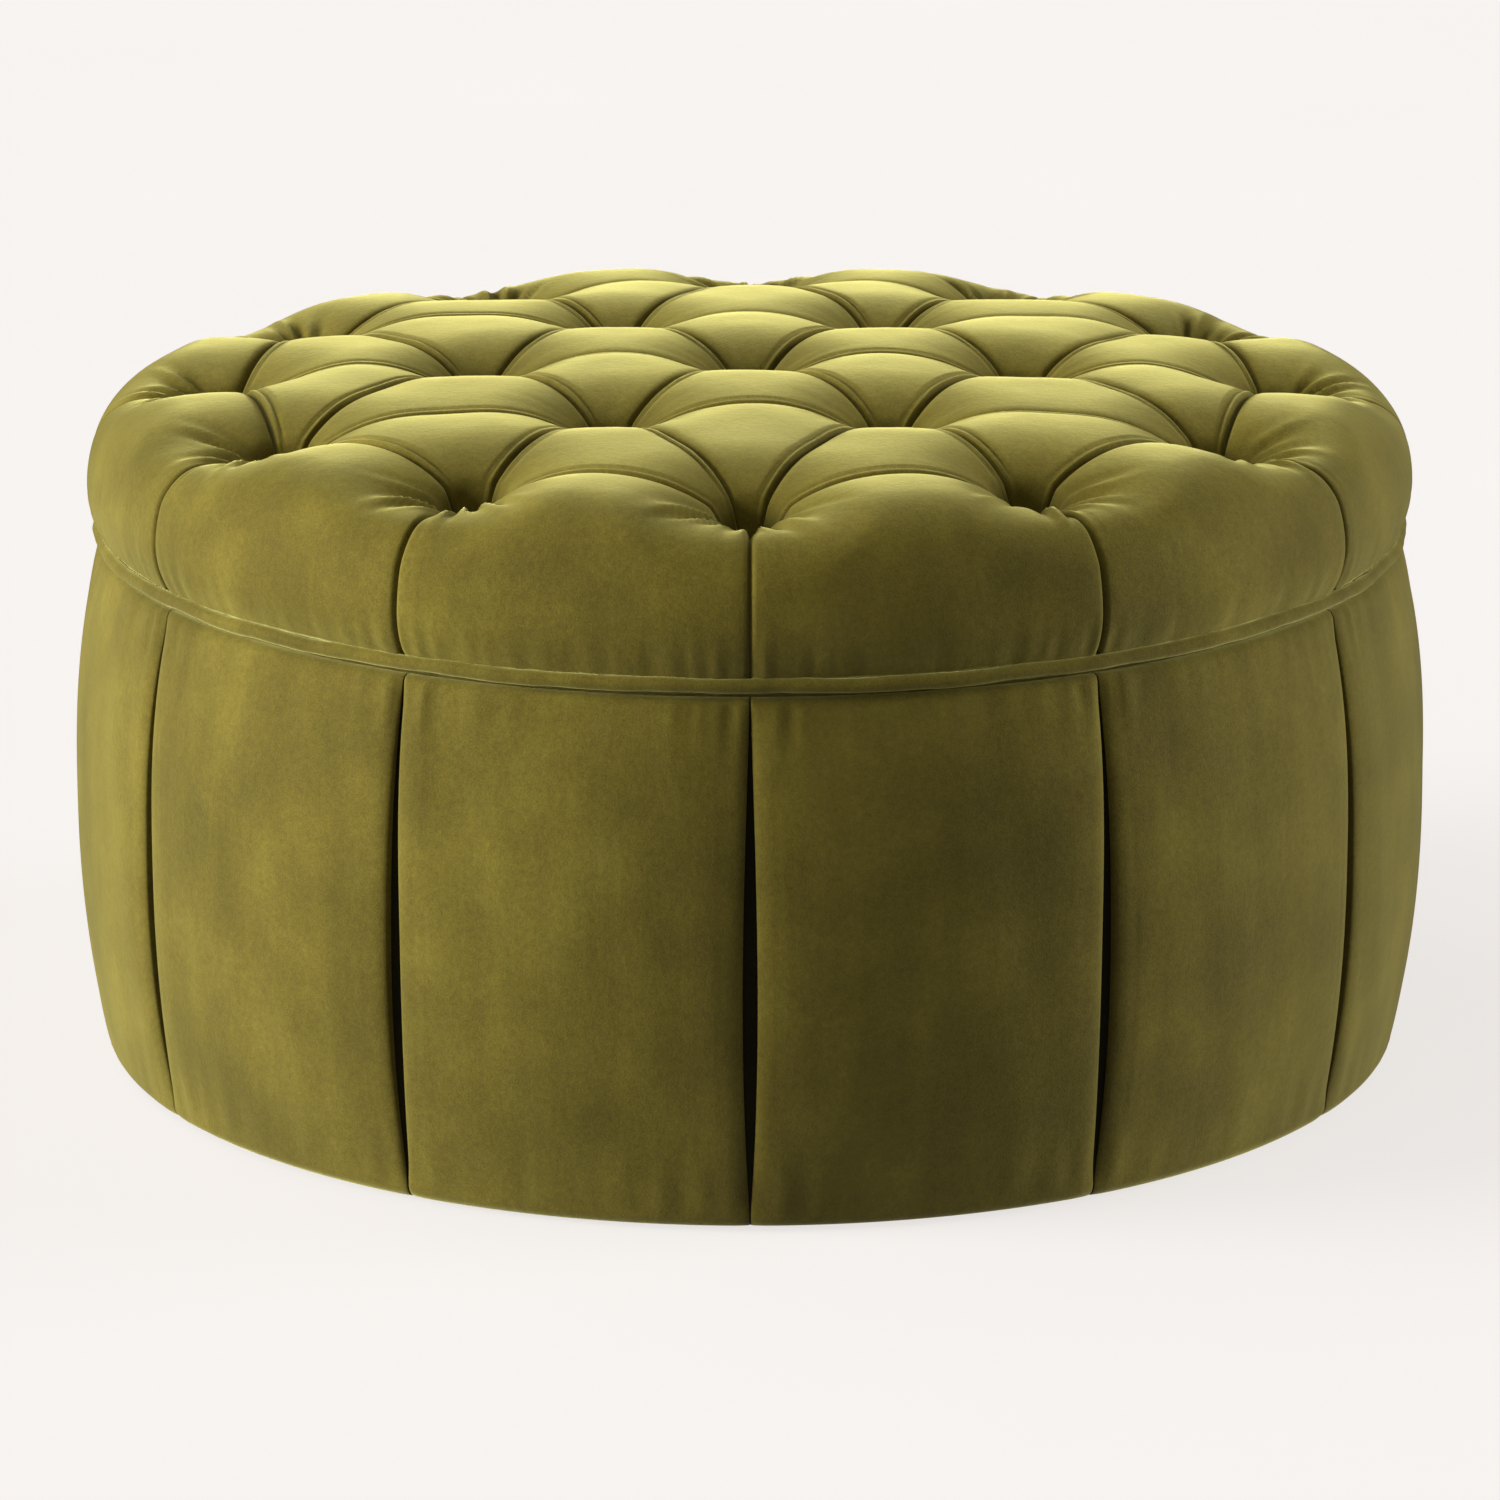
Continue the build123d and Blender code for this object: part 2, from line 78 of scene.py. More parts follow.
SEAM = 0.0046              # depth of the seams down the lid's side
GATHER = 0.0040            # depth of the small radial gathers round the outer buttons
GATHER_COUNT = 19          # gathers in a full turn round a button
GATHER_NEAR = 0.100        # no gather reaches farther than this
GRID = 60                  # mesh steps along each fold

SKIRT_R = 0.457            # widest radius of the skirt
SKIRT_Z = 0.180            # height of that widest place
SKIRT_RISE = 0.17          # from there up to the rim, and down to the hem's turn
SKIRT_FALL = 0.159
SKIRT_IN_TOP = 0.019       # how much narrower it is at the rim, and at the hem
SKIRT_IN_LOW = 0.014
RIM_Z = 0.350              # top of the base's rim
HEM_LOW = 0.002            # underside of the hem
HEM_ROLL = 0.010           # radius of the hem's turn
PLEATS = 12
PLEAT_LOW = 0.015          # the pleats open between these two heights
PLEAT_TOP = 0.343
PLEAT_GAP = 0.0095         # widest opening of a pleat
PLEAT_DEEP = 0.0113        # depth of a pleat, less than the 13 mm let into the foam
PLEAT_SHALLOW = 0.0022     # its depth where it is shut
PLEAT_TRACE = 0.0006       # its depth over the rim and under the hem
ROLL_WIDE = 0.015          # rounding of a pleat's edge, along the panel and inwards
ROLL_DEEP = 0.0042
EDGE_ANGLES = np.radians((0, 14, 28, 42, 56, 70, 82))   # steps round that edge

WELT_R = 0.005             # radius of the piping
WELT_RING_R = 0.4376       # radius of the ring that it makes
WELT_Z = 0.3582            # height of that ring

FLOOR_CLOTH = (0.3855, 0.0204, 0.0003)   # radius, height and ripple of each round cloth
LID_CLOTH = (0.4305, 0.3526, 0.0003)
UNDER_CLOTH = (0.3990, 0.0076, 0.0004)
LINING_R = 0.3868          # radius of the cloth round the storage box
LINING_LOW = 0.0205        # its lower and upper edges
LINING_HIGH = 0.3476

# ---- Stage settings --------------------------------------------------------------------
LIGHTS = (                 # name, bearing, elevation, strength and softness, angles in degrees
    ("key", -128, 46, 0.5, 30),
    ("top", -50, 62, 0.3, 40),
    ("left", -82, 10, 7.6, 36),
    ("right_edge", 98, 8, 3.8, 34),
)
WORLD_STRENGTH = 0.15
FLOOR_GLOW = 0.80          # the floor's own light, which keeps it nearly white
FLOOR_SHADE = 0.20         # share of its colour that takes shadows
FLOOR_SIDE = 14.0          # half of its side
CAMERA_PLACE = (0, -5.05, 1.618)
CAMERA_DOWN = 15.75        # degrees below level
CAMERA_LENS = 184.8        # millimetres, on the sensor below
CAMERA_SENSOR = 36


# ---- Small helpers ---------------------------------------------------------------------
def smooth(low, high, value):
    """0 below low, 1 above high, and an S curve between."""
    t = np.clip((value - low) / (high - low), 0, 1)
    return t * t * (3 - 2 * t)


def rounded(t):
    """Quarter circle: 0 at t = 0 and level from t = 1."""
    return np.sqrt(1 - (1 - np.clip(t, 0, 1)) ** 2)


def wander(angle, waves, seed):
    """A smooth irregular ripple round a circle, between about -1 and 1."""
    local = np.random.default_rng(seed)
    total = np.zeros_like(angle)
    for wave in waves:
        total += local.uniform(0.4, 1) * np.sin(wave * angle + local.uniform(0, math.tau))
    return total / len(waves)


def mesh_piece(name, verts, faces, material, body, replaced=()):
    """A shaded mesh object that rides on a CAD body and may stand for CAD nodes."""
    mesh = bpy.data.meshes.new(name)
    mesh.from_pydata([tuple(v) for v in verts], [], faces)
    mesh.update()
    mesh.shade_smooth()
    mesh.materials.append(material)
    piece = bpy.data.objects.new(name, mesh)
    bpy.context.collection.objects.link(piece)
    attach(piece, body)
    if replaced:
        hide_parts(*replaced)
    return piece


def grid_faces(rows, columns, wrap=False):
    """Quads of a grid whose vertices run row by row. wrap joins the last column to the first."""
    faces = []
    for row in range(rows - 1):
        for column in range(columns if wrap else columns - 1):
            after = (column + 1) % columns
            low, high = row * columns, (row + 1) * columns
            faces.append((low + column, low + after, high + after, high + column))
    return faces


# ---- Materials -------------------------------------------------------------------------
def srgb(red, green, blue):
    """A screen colour, 0 to 255, as linear RGBA."""
    def linear(value):
        share = value / 255
        return share / 12.92 if share <= 0.04045 else ((share + 0.055) / 1.055) ** 2.4
    return (linear(red), linear(green), linear(blue), 1)


def add(tree, kind, **settings):
    """A new node. Settings are its properties, or its inputs where the name matches one."""
    node = tree.nodes.new(kind)
    for key, value in settings.items():
        label = key.replace("_", " ").title()
        if label in node.inputs:
            node.inputs[label].default_value = value
        else:
            setattr(node, key, value)
    return node


def noise(tree, scale, detail, stretch=(1, 1, 1)):
    """Noise over the object's own coordinates, stretched along an axis if asked."""
    place = add(tree, "ShaderNodeTexCoord")
    mapping = add(tree, "ShaderNodeMapping")
    mapping.inputs["Scale"].default_value = stretch
    field = add(tree, "ShaderNodeTexNoise", scale=scale, detail=detail, roughness=0.55)
    tree.links.new(place.outputs["Object"], mapping.inputs["Vector"])
    tree.links.new(mapping.outputs["Vector"], field.inputs["Vector"])
    return field.outputs["Fac"]


def ramp(tree, value, stops):
    """Colours read along a value. Stops are (position, colour)."""
    node = add(tree, "ShaderNodeValToRGB")
    steps = node.color_ramp.elements
    while len(steps) < len(stops):
        steps.new(0.5)
    for step, (position, colour) in zip(steps, stops):
        step.position = position
        step.color = colour
    tree.links.new(value, node.inputs["Fac"])
    return node.outputs["Color"]


def maths(tree, operation, first, second):
    """One arithmetic step between a value and a value or number."""
    node = add(tree, "ShaderNodeMath", operation=operation)
    for socket, item in zip(node.inputs, (first, second)):
        if isinstance(item, (int, float)):
            socket.default_value = item
        else:
            tree.links.new(item, socket)
    return node.outputs["Value"]


def mixed(tree, blend, share, first, second):
    """Two colours mixed. share is a number or a value."""
    node = add(tree, "ShaderNodeMix", data_type="RGBA", blend_type=blend)
    for socket, item in ((node.inputs[0], share), (node.inputs[6], first), (node.inputs[7], second)):
        if isinstance(item, (int, float, tuple)):
            socket.default_value = item
        else:
            tree.links.new(item, socket)
    return node.outputs[2]


def bumped(tree, layers):
    """Bump layers, each (height, distance in metres, strength), stacked into one normal."""
    normal = None
    for height, distance, strength in layers:
        node = add(tree, "ShaderNodeBump", distance=distance, strength=strength)
        tree.links.new(height, node.inputs["Height"])
        if normal:
            tree.links.new(normal, node.inputs["Normal"])
        normal = node.outputs["Normal"]
    return normal


def new_material(name, colour, roughness, **constants):
    """A material with its tree and shader. Constants go straight on the shader's sockets."""
    material = bpy.data.materials.new(name)
    material.use_nodes = True
    tree = material.node_tree
    shader = tree.nodes["Principled BSDF"]
    shader.inputs["Roughness"].default_value = roughness
    material.diffuse_color = colour
    shader.inputs["Base Color"].default_value = colour
    for key, value in constants.items():
        shader.inputs[key.replace("_", " ")].default_value = value
    return material, tree, shader


def velvet_material(name, shade=1.0, streaks=(1.0, 1.0, 0.18), sheen=0.72):
    """Olive velvet: brushed nap in soft blotches, fine streaks, short pile and a pale sheen."""
    material, tree, shader = new_material(name, srgb(99, 88, 35), 0.8,
                                          Sheen_Weight=sheen, Sheen_Roughness=0.42,
                                          Specular_IOR_Level=0.1)
    shader.inputs["Sheen Tint"].default_value = (0.83, 0.77, 0.26, 1)
    blotch = noise(tree, 11.0, 3.0)
    brushed = noise(tree, 34.0, 4.0, streaks)
    nap = noise(tree, 230.0, 3.0)
    pile = noise(tree, 900.0, 2.0)
    deep = srgb(93 * shade, 83 * shade, 25 * shade)
    middle = srgb(104 * shade, 93 * shade, 30 * shade)
    light = srgb(115 * shade, 104 * shade, 37 * shade)
    base = ramp(tree, blotch, ((0.34, deep), (0.52, middle), (0.68, light)))
    streak = ramp(tree, brushed, ((0.3, (0.80, 0.79, 0.76, 1)), (0.7, (1.12, 1.11, 1.08, 1))))
    fleck = ramp(tree, nap, ((0.3, (0.82, 0.81, 0.76, 1)), (0.7, (1.12, 1.11, 1.07, 1))))
    colour = mixed(tree, "MULTIPLY", 0.7, base, streak)
    grain = ramp(tree, pile, ((0.35, (0.80, 0.79, 0.72, 1)), (0.65, (1.16, 1.15, 1.10, 1))))
    colour = mixed(tree, "MULTIPLY", 0.7, colour, fleck)
    colour = mixed(tree, "MULTIPLY", 0.8, colour, grain)
    tree.links.new(colour, shader.inputs["Base Color"])
    normal = bumped(tree, ((brushed, 0.0016, 0.3), (nap, 0.0006, 0.35), (pile, 0.0003, 0.5)))
    tree.links.new(normal, shader.inputs["Normal"])
    return material


def wood_material(name, pale, dark, along, ply=False):
    """Sawn wood: long grain, growth bands and a little roughness. ply adds glued layers."""
    material, tree, shader = new_material(name, pale, 0.62)
    stretch = tuple(0.06 if axis == along else 1.0 for axis in "xyz")
    grain = noise(tree, 120.0, 5.0, stretch)
    bands = noise(tree, 22.0, 2.0, stretch)
    field = maths(tree, "ADD", maths(tree, "MULTIPLY", grain, 0.55),
                  maths(tree, "MULTIPLY", bands, 0.45))
    bright = tuple(min(1.0, channel * 1.15) for channel in pale)
    colour = ramp(tree, field, ((0.36, dark), (0.5, pale), (0.64, bright)))
    if ply:
        layers = noise(tree, 1.0, 0.0, (0.01, 0.01, 640.0))
        lines = ramp(tree, layers, ((0.42, (0.55, 0.47, 0.38, 1)), (0.5, (1, 1, 1, 1))))
        colour = mixed(tree, "MULTIPLY", 0.5, colour, lines)
    tree.links.new(colour, shader.inputs["Base Color"])
    tree.links.new(bumped(tree, ((grain, 0.0006, 0.4),)), shader.inputs["Normal"])
    return material


def speckled_material(name, low, high, scale, roughness, relief=0.0003, **constants):
    """A surface whose colour and relief vary in fine specks and broad clouds."""
    material, tree, shader = new_material(name, high, roughness, **constants)
    specks = noise(tree, scale, 4.0)
    clouds = noise(tree, scale / 22, 2.0)
    field = maths(tree, "ADD", maths(tree, "MULTIPLY", specks, 0.6),
                  maths(tree, "MULTIPLY", clouds, 0.4))
    tree.links.new(ramp(tree, field, ((0.35, low), (0.65, high))), shader.inputs["Base Color"])
    rough = ramp(tree, clouds, ((0.3, (roughness * 0.85,) * 3 + (1,)),
                                (0.7, (min(1.0, roughness * 1.15),) * 3 + (1,))))
    tree.links.new(rough, shader.inputs["Roughness"])
    tree.links.new(bumped(tree, ((specks, relief, 0.5),)), shader.inputs["Normal"])
    return material


def woven_material(name, low, high, pitch):
    """Plain-woven cloth: faint crossing threads at the given pitch, and slubs."""
    material, tree, shader = new_material(name, high, 0.85)
    place = add(tree, "ShaderNodeTexCoord")
    threads = None
    for axis in ("X", "Y", "Z"):
        wave = add(tree, "ShaderNodeTexWave", wave_type="BANDS", bands_direction=axis,
                   scale=math.tau / pitch / 20, distortion=1.2, detail=2.0)
        tree.links.new(place.outputs["Object"], wave.inputs["Vector"])
        out = wave.outputs["Fac"]
        threads = out if threads is None else maths(tree, "ADD", threads, out)
    threads = maths(tree, "DIVIDE", threads, 3.0)
    slub = noise(tree, 140.0, 4.0)
    field = maths(tree, "ADD", maths(tree, "MULTIPLY", threads, 0.2),
                  maths(tree, "MULTIPLY", slub, 0.8))
    tree.links.new(ramp(tree, field, ((0.3, low), (0.7, high))), shader.inputs["Base Color"])
    tree.links.new(bumped(tree, ((threads, pitch / 8, 0.3), (slub, 0.0006, 0.3))),
                   shader.inputs["Normal"])
    return material


velvet = velvet_material("velvet")
skirt_velvet = velvet_material("skirt_velvet", 0.98, (1.0, 1.0, 0.09))
welt_velvet = velvet_material("welt_velvet", 0.95, (1.0, 1.0, 1.0))
# A copy of the velvet at about a third of its brightness and without sheen: painted shade for the
# inside of the pleats.
pleat_shade_velvet = velvet_material("pleat_shade_velvet", 0.35, (1.0, 1.0, 0.09), sheen=0.0)
lining = woven_material("lining_cloth", srgb(150, 141, 122), srgb(186, 178, 160), 0.0011)
dust_cloth = speckled_material("dust_cloth", srgb(16, 16, 17), srgb(44, 43, 44), 420, 0.9)

CAD_MATERIALS = {
    "softwood": wood_material("softwood", srgb(214, 184, 140), srgb(168, 128, 84), "z"),
    "plywood": wood_material("plywood", srgb(206, 178, 138), srgb(164, 130, 92), "x", ply=True),
    "hardboard": speckled_material("hardboard", srgb(92, 66, 44), srgb(134, 102, 70), 500, 0.7),
    "lining_card": lining,
    "lining_cloth": lining,
    "dust_cloth": dust_cloth,
    "foam": speckled_material("foam", srgb(206, 192, 140), srgb(236, 226, 184), 260, 0.95),
    "twine": speckled_material("twine", srgb(150, 136, 104), srgb(206, 194, 160), 900, 0.8),
    "zinc_steel": speckled_material("zinc_steel", srgb(142, 144, 146), srgb(196, 198, 200),
                                    180, 0.34, 0.00005, Metallic=1.0),
    "rubber": speckled_material("rubber", srgb(14, 14, 14), srgb(34, 33, 32), 300, 0.75),
    "tube_black": speckled_material("tube_black", srgb(12, 12, 13), srgb(26, 26, 28), 240,
                                    0.3, 0.00004, Coat_Weight=0.4, Coat_Roughness=0.18),
    "rod_chrome": speckled_material("rod_chrome", srgb(198, 200, 203), srgb(228, 230, 233),
                                    300, 0.09, 0.00002, Metallic=1.0),
    "black_plastic": speckled_material("black_plastic", srgb(18, 18, 19), srgb(38, 38, 40),
                                       600, 0.5, 0.0001),
    "velvet": velvet,
}


# ---- Lid: shape of the cushion ---------------------------------------------------------
def crown_profile():
    """Length along the cloth, radius, height and slope, in even steps down the lid's section."""
    slope = 2 * CROWN_FALL / SHOULDER_R
    shoulder_z = CROWN_Z - CROWN_FALL
    rise = shoulder_z - BELLY_Z
    best = None
    # Finds the ellipse whose upper end carries on at the crown's own slope.
    for start in np.radians(np.linspace(70, 88, 181)):
        tall = rise / math.sin(start)
        wide = (BELLY_R - SHOULDER_R) / (1 - math.cos(start))
        error = abs(tall * math.cos(start) / (wide * math.sin(start)) - slope)
        if best is None or error < best[0]:
            best = (error, start, wide, tall)
    _, start, wide, tall = best
    points = [(r, CROWN_Z - CROWN_FALL * (r / SHOULDER_R) ** 2)
              for r in np.linspace(0, SHOULDER_R, 200)]
    for angle in np.linspace(start, 0, 200)[1:]:
        points.append((BELLY_R - wide + wide * math.cos(angle), BELLY_Z + tall * math.sin(angle)))
    for z in np.linspace(BELLY_Z, HEM_Z, 80)[1:]:
        share = (BELLY_Z - z) / (BELLY_Z - HEM_Z)
        points.append((BELLY_R - HEM_IN * share ** 2, z))
    points = np.array(points)
    steps = np.hypot(*np.diff(points, axis=0).T)
    length = np.concatenate([[0], np.cumsum(steps)])
    even = np.linspace(0, length[-1], 1200)
    radius = np.interp(even, length, points[:, 0])
    height = np.interp(even, length, points[:, 1])
    tilt = np.arctan2(-np.gradient(height, even), np.gradient(radius, even))
    return even, radius, height, tilt


LENGTH, PROFILE_R, PROFILE_Z, PROFILE_TILT = crown_profile()
CLOTH_END = LENGTH[-1]
CROWN_STEPS = 900          # first steps of the profile, over which its radius only grows


def cloth_length(radius):
    """Distance along the cloth from the crown's centre to a radius on the crown."""
    return float(np.interp(radius, PROFILE_R[:CROWN_STEPS], LENGTH[:CROWN_STEPS]))


def flat_buttons():
    """Buttons on the cloth laid flat: centre, inner ring and outer ring."""
    rings = []
    for radius, count in RINGS:
        reach = cloth_length(radius)
        angles = math.tau * np.arange(count) / count
        rings.append(np.column_stack([reach * np.cos(angles), reach * np.sin(angles)]))
    return rings


BUTTONS = flat_buttons()
ALL_BUTTONS = np.vstack(BUTTONS)


def cluster(t, power=1.5):
    """Spreads 0..1 so that steps are fine at both ends."""
    return t ** power / (t ** power + (1 - t) ** power)


def triangle_grid(corners):
    """Points and faces of one puff, finer towards its three folds."""
    weights, index, faces = [], {}, []
    for i in range(GRID + 1):
        for j in range(GRID + 1 - i):
            index[i, j] = len(weights)
            weights.append((i / GRID, j / GRID, (GRID - i - j) / GRID))
    weights = np.array(weights) ** 1.5
    weights /= weights.sum(axis=1, keepdims=True)
    for i in range(GRID):
        for j in range(GRID - i):
            faces.append((index[i, j], index[i + 1, j], index[i, j + 1]))
            if i + j < GRID - 1:
                faces.append((index[i + 1, j], index[i + 1, j + 1], index[i, j + 1]))
    return weights @ np.array(corners), faces


def rim_grid(first, second, start_angle):
    """Points and faces of one side panel, from the outer fold over the shoulder to the welt."""
    across = cluster(np.arange(GRID + 1) / GRID)
    down = np.linspace(0, 1, GRID + 1) ** 1.12
    points = []
    for v in down:
        for u in across:
            x, y = first * (1 - u) + second * u
            reach = math.hypot(x, y)
            angle = math.atan2(y, x)
            angle = start_angle + (angle - start_angle + math.pi) % math.tau - math.pi
            outer = start_angle + PANEL_TURN * u
            s = reach + (CLOTH_END - reach) * v
            a = angle + (outer - angle) * v
            points.append((s * math.cos(a), s * math.sin(a)))
    return np.array(points), grid_faces(GRID + 1, GRID + 1)


def edge_distance(points, first, second):
    """Distance from the line through two buttons, and the share of the way along it."""
    along = second - first
    size = np.hypot(*along)
    along = along / size
    offset = points - first
    across = np.abs(offset[:, 0] * -along[1] + offset[:, 1] * along[0])
    return across, (offset @ along) / size


def fold_depth(across, share, tucked):
    """Broad and narrow rounding of a fold, 0 in it and 1 clear of it, and its tuck's depth."""
    broad = rounded(across / PILLOW_WIDE)
    narrow = 0.5 * smooth(0.0003, SLOT, across) + 0.5 * rounded(across / FOLD_WIDE)
    tuck = np.zeros_like(across)
    if tucked:
        bow = np.clip(4 * share * (1 - share), 0, 1) ** 0.5
        centre = TUCK_OFF * bow + 0.0004
        tuck = TUCK * bow * np.exp(-((across - centre) / 0.0013) ** 2)
        tuck -= LIP * bow * np.exp(-((across - 0.55 * centre) / 0.0018) ** 2)
    return broad, narrow, tuck


def puff_depth(points, corners, tucks):
    """Depth of a triangular puff below the crown, without the buttons' pull."""
    broad = np.ones(len(points))
    narrow = np.ones(len(points))
    fine = np.zeros(len(points))
    for side in range(3):
        first, second = corners[side], corners[(side + 1) % 3]
        across, share = edge_distance(points, first, second)
        b, n, t = fold_depth(across, share, tucks[side])
        broad *= b
        narrow *= n
        fine += t
    return PILLOW * (1 - broad) + FOLD * (1 - narrow) + fine


def side_seams(angle, radius, down, near_button):
    """Broad rounding and fine line of the seams at the two ends of a side panel."""
    broad = 1.0
    line = np.zeros(len(angle))
    for edge in (angle, PANEL_TURN - angle):
        off = np.abs(edge) * radius
        wide = 0.012 + 0.028 * near_button
        broad = broad * rounded(off / wide)
        line += np.exp(-(off / 0.0014) ** 2) * (0.0030 - 0.0010 * down)
    return broad, line


def rim_depth(points, first, second, start_angle, seed):
    """Depth of a side panel: its fold, its two seams, a fine crease and ripples by the welt."""
    reach = np.hypot(points[:, 0], points[:, 1])
    angle = np.arctan2(points[:, 1], points[:, 0])
    angle = (angle - start_angle + math.pi / 2) % math.tau - math.pi / 2
    radius = np.interp(reach, LENGTH, PROFILE_R)
    down = np.clip((reach - np.hypot(*first)) / (CLOTH_END - np.hypot(*first)), 0, 1)
    across, share = edge_distance(points, first, second)
    broad, narrow, fine = fold_depth(across, share, False)
    near_button = 1 - smooth(0.0, 0.55, down)
    seam_broad, seam_line = side_seams(angle, radius, down, near_button)
    seam_depth = SEAM * (0.42 + 0.58 * near_button)
    total = PILLOW * (1 - broad * (1 - near_button * (1 - seam_broad)))
    total += FOLD * (1 - narrow) + fine
    total += seam_depth * (1 - seam_broad) * (1 - 0.25 * near_button) + seam_line
    crease = np.exp(-((angle * radius - 0.008) / 0.0011) ** 2)
    total += 0.0006 * crease * smooth(0.05, 0.15, down) * (1 - smooth(0.45, 0.7, down))
    ripple = wander(angle * 12, (5, 9, 14, 19), seed)
    total += 0.0016 * ripple * smooth(0.74, 0.95, down) * (1 - 0.8 * smooth(0.95, 1.0, down))
    return total


def gathers(points):
    """Small radial gathers: strong outside the outer buttons and faint round the others."""
    total = np.zeros(len(points))
    for number, spot in enumerate(ALL_BUTTONS):
        offset = points - spot
        distance = np.hypot(offset[:, 0], offset[:, 1])
        near = distance < GATHER_NEAR
        if not near.any():
            continue
        outward = math.atan2(spot[1], spot[0])
        bearing = np.arctan2(offset[near, 1], offset[near, 0]) - outward
        bearing = (bearing + math.pi) % math.tau - math.pi
        outer = np.hypot(*spot) > OUTER_RING
        facing = 1 - smooth(0.95, 1.3, np.abs(bearing)) if outer else np.full(near.sum(), 0.05)
        local = np.random.default_rng(100 + number)
        wobble = np.sin(3 * bearing + local.uniform(0, math.tau))
        wobble += 0.6 * np.sin(8 * bearing + local.uniform(0, math.tau))
        wave = np.sin(GATHER_COUNT * bearing + 1.3 * wobble + local.uniform(0, math.tau))
        crest = 0.5 + 0.5 * np.sin(5 * bearing + local.uniform(0, math.tau))
        away = distance[near]
        end = 0.064 + 0.034 * (0.5 + 0.5 * np.sin(9 * bearing + local.uniform(0, math.tau)))
        fade = smooth(0.014, 0.034, away) * (1 - smooth(0.45, 1, away / end))
        total[near] += GATHER * facing * fade * (0.3 + 0.7 * crest) * wave
    return total


def button_pull(points):
    """How far the buttons draw the cloth down, wider and fuller outside the front ones."""
    pull = np.zeros(len(points))
    for spot in ALL_BUTTONS:
        distance = np.hypot(*(points - spot).T)
        reach = np.hypot(*spot)
        outward = (points - spot) @ spot / max(reach, 1e-6) / np.maximum(distance, 1e-6)
        rim_side = smooth(0.0, 0.9, outward) if reach > OUTER_RING else 0.0
        front = 0.5 - 0.5 * spot[1] / max(reach, 1e-6)
        steep = 2.3 - (0.72 + 0.45 * front) * rim_side
        far = PULL_REACH * (1 + 0.16 * front * rim_side)
        pull += PULL * np.clip(1 - distance / far, 0, 1) ** steep
        pull += WELL * (1 - smooth(0.008, 0.027, distance))
    return pull


def soft_swell(points):
    """Slow unevenness of the stuffing, a millimetre or so."""
    x, y = points.T
    swell = np.sin(23 * x + 1.3) * np.sin(19 * y + 0.4) + np.sin(41 * x + 31 * y + 2.1) * 0.5
    return 0.0008 * swell


def on_crown(points, depth, pull):
    """Points of the flat cloth set on the crown and pushed in by their depth and pull."""
    reach = np.hypot(points[:, 0], points[:, 1])
    angle = np.arctan2(points[:, 1], points[:, 0])
    radius = np.interp(reach, LENGTH, PROFILE_R)
    height = np.interp(reach, LENGTH, PROFILE_Z)
    tilt = np.interp(reach, LENGTH, PROFILE_TILT)
    lean = tilt * smooth(*PULL_TURN, reach)
    fuller = crown_lean(reach, angle)
    total = np.minimum(depth + pull, PULL_LIMIT + np.minimum(fuller, 0))
    radius = radius - total * np.sin(lean)
    height = height - total * np.cos(lean) + fuller
    return np.column_stack([radius * np.cos(angle), radius * np.sin(angle), height])


def crown_lean(reach, angle):
    """Extra height of the stuffing, fuller at the front and fading down the lid's side."""
    height = np.interp(reach, LENGTH, PROFILE_Z)
    radius = np.interp(reach, LENGTH, PROFILE_R)
    return -LEAN * radius * np.sin(angle) * smooth(BELLY_Z, BELLY_Z + LEAN_FADE, height)


def lid_panels():
    """Every puff and side panel of the lid as flat points, faces and depth."""
    centre, inner, outer = BUTTONS
    panels = []
    for i in range(6):
        corners = [centre[0], inner[i], inner[(i + 1) % 6]]
        panels.append((corners, (True, True, False)))
    for i in range(6):
        a, b = inner[i], inner[(i + 1) % 6]
        at, between, beyond = outer[2 * i], outer[2 * i + 1], outer[(2 * i + 2) % 12]
        panels.append(([a, at, between], (True, True, True)))
        panels.append(([a, between, b], (False, True, False)))
        panels.append(([b, between, beyond], (False, True, True)))
    for corners, tucks in panels:
        points, faces = triangle_grid(corners)
        yield points, faces, puff_depth(points, corners, tucks)
    for i in range(12):
        first, second = outer[i], outer[(i + 1) % 12]
        start = math.tau * i / 12
        points, faces = rim_grid(first, second, start)
        yield points, faces, rim_depth(points, first, second, start, 40 + i)


def joined_panels():
    """All panels joined along their shared edges: flat points, depth and faces."""
    all_points, all_faces, all_depth, count = [], [], [], 0
    for points, faces, depth in lid_panels():
        all_points.append(points)
        all_depth.append(depth)
        all_faces += [tuple(count + v for v in face) for face in faces]
        count += len(points)
    points = np.vstack(all_points)
    depth = np.concatenate(all_depth) + soft_swell(points) + gathers(points)
    keys, first, owner = np.unique(np.round(points, 6), axis=0, return_index=True,
                                   return_inverse=True)
    owner = owner.ravel()
    deepest = np.full(len(keys), -1.0)
    np.maximum.at(deepest, owner, depth)
    joined = []
    for face in all_faces:
        merged = [owner[v] for v in face]
        kept = [v for i, v in enumerate(merged) if v != merged[i - 1]]
        if len(kept) > 2:
            joined.append(tuple(int(v) for v in kept))
    return points[first], deepest, joined


def turn_hem(points, verts, faces):
    """Takes the lid's lower edge in and down behind the welt, as two more loops."""
    reach = np.hypot(points[:, 0], points[:, 1])
    loop = [int(i) for i in np.where(reach > CLOTH_END - 1e-5)[0]]
    loop.sort(key=lambda i: math.atan2(points[i, 1], points[i, 0]))
    angles = [math.atan2(points[i, 1], points[i, 0]) for i in loop]
    for inward, drop in HEM_RETURN:
        start = len(verts)
        radius = BELLY_R - HEM_IN - inward
        for angle in angles:
            verts.append((radius * math.cos(angle), radius * math.sin(angle), HEM_Z - drop))
        new = list(range(start, start + len(loop)))
        for j in range(len(loop)):
            after = (j + 1) % len(loop)
            faces.append((loop[j], new[j], new[after], loop[after]))
        loop = new


